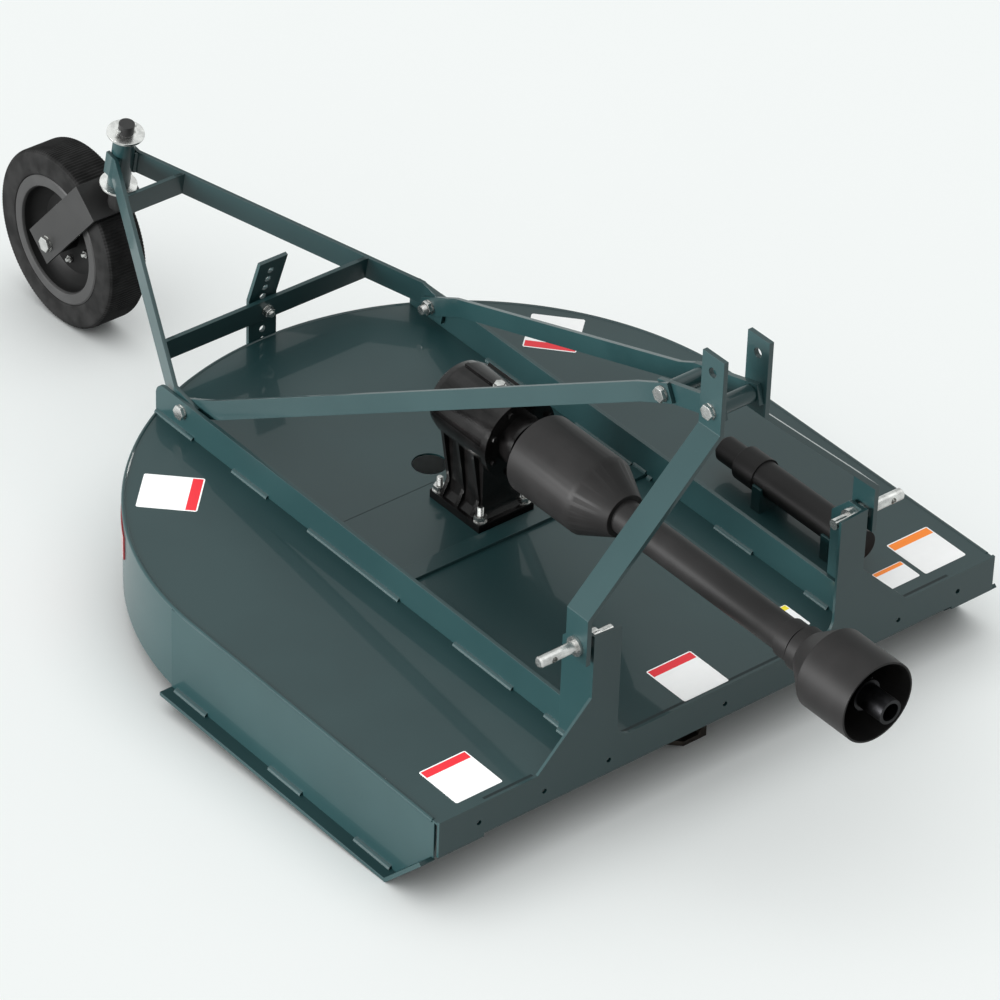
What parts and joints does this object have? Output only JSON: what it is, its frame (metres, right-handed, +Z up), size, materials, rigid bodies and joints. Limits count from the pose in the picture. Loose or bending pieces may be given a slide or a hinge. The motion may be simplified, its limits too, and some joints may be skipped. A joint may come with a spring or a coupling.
{
  "type": "three-point hitch rotary cutter",
  "caption": "Three-point hitch rotary cutter: flat deck with a rounded tail, A-frame mast, braces, guarded driveline and a caster tail wheel.",
  "frame": {"origin": "centre of the footprint, on the floor under the machine", "axes": "+X to the machine's right, +Y forward to the tractor, +Z up"},
  "size_m": [1.354, 2.6118, 0.9059],
  "materials": {
    "deck_paint": "gloss dark green-grey enamel",
    "gearbox_black": "black painted casting",
    "guard_plastic": "black moulded guard",
    "tube_plastic": "black moulded tube",
    "zinc_steel": "zinc plated",
    "fork_black": "black enamel",
    "tyre_rubber": "laminated rubber",
    "rim_black": "black enamel",
    "blade_steel": "black oxide forged steel",
    "shaft_steel": "oiled steel"
  },
  "bodies": {
    "root": {"deck_plate": "deck_paint", "front_plate": "deck_paint", "side_skirt_right": "deck_paint", "side_skirt_left": "deck_paint", "rear_band": "deck_paint", "skid_right": "deck_paint", "skid_left": "deck_paint", "rail_right": "deck_paint", "rail_left": "deck_paint", "upright_side_right": "deck_paint", "upright_side_left": "deck_paint", "cross_member": "deck_paint", "height_strap": "deck_paint", "gearbox_housing": "gearbox_black", "hitch_pin_right": "zinc_steel", "hitch_pin_left": "zinc_steel", "lug_bolt_right": "zinc_steel", "lug_bolt_left": "zinc_steel", "rear_guard": "guard_plastic", "document_tube": "tube_plastic", "tube_bracket_1": "deck_paint", "tube_bracket_2": "deck_paint"},
    "mast": {"mast_leg_right": "deck_paint", "mast_leg_left": "deck_paint", "mast_bolt": "zinc_steel"},
    "links": {"link_right": "deck_paint", "link_left": "deck_paint", "link_bolt": "zinc_steel"},
    "braces": {"brace_right": "deck_paint", "brace_left": "deck_paint"},
    "tail_frame": {"tail_bar_right": "deck_paint", "tail_bar_left": "deck_paint", "tail_cross_front": "deck_paint", "tail_cross_rear": "deck_paint", "caster_tube": "deck_paint"},
    "caster": {"caster_fork": "fork_black", "wheel_axle": "zinc_steel"},
    "tail_wheel": {"tail_tyre": "tyre_rubber", "tail_rim": "rim_black"},
    "blade_rotor": {"blade_carrier": "blade_steel", "blade_bolt_1": "blade_steel", "blade_bolt_2": "blade_steel"},
    "blade_1": {"blade_1": "blade_steel"},
    "blade_2": {"blade_2": "blade_steel"},
    "rear_shaft": {"rear_driveline": "shaft_steel"},
    "front_guard": {"front_guard": "guard_plastic"},
    "front_shaft": {"front_driveline": "shaft_steel"}
  },
  "joints": [
    {"name": "tail_height", "type": "hinge", "parent": "root", "child": "tail_frame", "pos_m": [0, -0.3272, 0.28615], "axis": [-1, 0, 0], "range_deg": [-14, 14]},
    {"name": "caster_swivel", "type": "hinge", "parent": "tail_frame", "child": "caster", "pos_m": [0, -0.93643, 0.43855], "axis": [0, 0.2427, 0.9701], "continuous": true},
    {"name": "tail_wheel_spin", "type": "hinge", "parent": "caster", "child": "tail_wheel", "pos_m": [0, -1.11593, 0.19017], "axis": [-1, 0, 0], "continuous": true},
    {"name": "mast_fold", "type": "hinge", "parent": "root", "child": "mast", "pos_m": [0, 0.86562, 0.41414], "axis": [1, 0, 0], "range_deg": [0, 2]},
    {"name": "link_fold", "type": "hinge", "parent": "mast", "child": "links", "pos_m": [0, 0.88437, 0.79167], "axis": [-1, 0, 0], "range_deg": [0, 18]},
    {"name": "brace_lift", "type": "hinge", "parent": "root", "child": "braces", "pos_m": [0, -0.3272, 0.28615], "axis": [1, 0, 0], "range_deg": [0, 2]},
    {"name": "blade_spin", "type": "hinge", "parent": "root", "child": "blade_rotor", "pos_m": [0, 0.17566, 0.02889], "axis": [0, 0.0496, 0.9988], "continuous": true},
    {"name": "blade_1_swing", "type": "hinge", "parent": "blade_rotor", "child": "blade_1", "pos_m": [0, 0.33196, 0.05117], "axis": [0, 0.0496, 0.9988], "range_deg": [-85, 85]},
    {"name": "blade_2_swing", "type": "hinge", "parent": "blade_rotor", "child": "blade_2", "pos_m": [0, 0.02234, 0.06654], "axis": [0, 0.0496, 0.9988], "range_deg": [-85, 85]},
    {"name": "rear_shaft_spin", "type": "hinge", "parent": "root", "child": "rear_shaft", "pos_m": [0, 0.88925, 0.38593], "axis": [0, 0.9988, -0.0496], "continuous": true},
    {"name": "guard_slide", "type": "slide", "parent": "root", "child": "front_guard", "axis": [0, 0.9988, -0.0496], "range_m": [0, 0.12]},
    {"name": "front_shaft_spin", "type": "hinge", "parent": "front_guard", "child": "front_shaft", "pos_m": [0, 0.88925, 0.38593], "axis": [0, 0.9988, -0.0496], "continuous": true}
  ],
  "couplings": [
    {"joint": "link_fold", "follows": "mast_fold", "ratio": 8.6},
    {"joint": "brace_lift", "follows": "mast_fold", "ratio": 0.94},
    {"joint": "rear_shaft_spin", "follows": "blade_spin", "ratio": 0.68182},
    {"joint": "front_shaft_spin", "follows": "blade_spin", "ratio": 0.68182}
  ]
}
